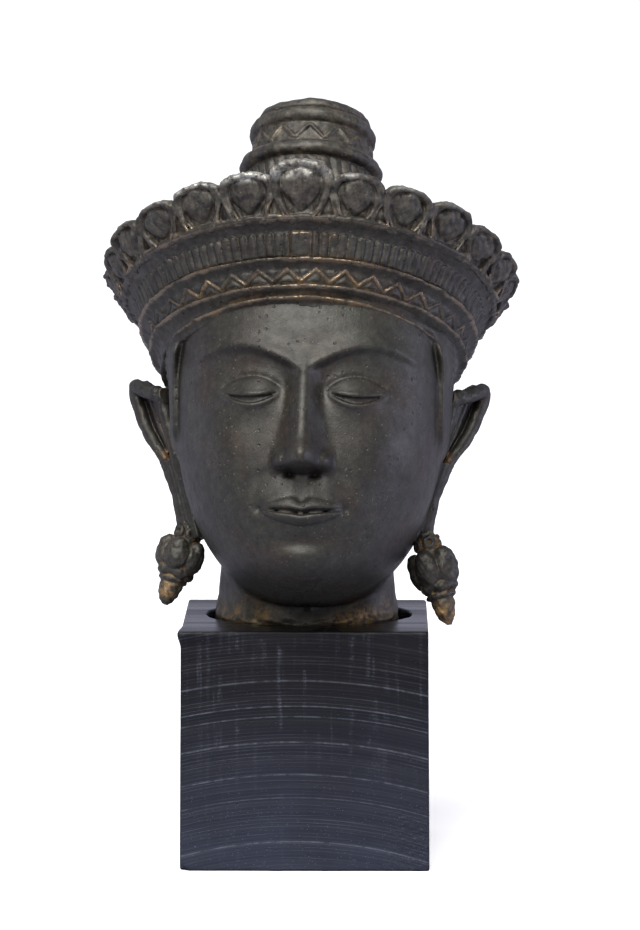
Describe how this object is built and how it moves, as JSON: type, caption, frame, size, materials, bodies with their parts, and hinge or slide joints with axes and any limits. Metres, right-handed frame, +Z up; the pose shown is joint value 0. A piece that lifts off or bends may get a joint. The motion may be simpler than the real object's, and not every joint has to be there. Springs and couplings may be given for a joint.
{
  "type": "bronze bodhisattva head",
  "caption": "Cast bronze head of a bodhisattva with a flared petal diadem, tiered chignon and long pendant ears, standing by its neck in a black wooden block.",
  "frame": {"origin": "middle of the block's underside", "axes": "+Z up, the face looks along -Y, +X is the figure's left ear"},
  "size_m": [0.1686, 0.1952, 0.3083],
  "materials": {
    "bronze": "dark brown-green patina, satin, rubbed brighter on edges",
    "painted_wood": "black paint over saw-marked timber, satin, worn at the edges"
  },
  "bodies": {
    "root": {"bronze_head": "bronze", "wooden_block": "painted_wood"}
  },
  "joints": []
}
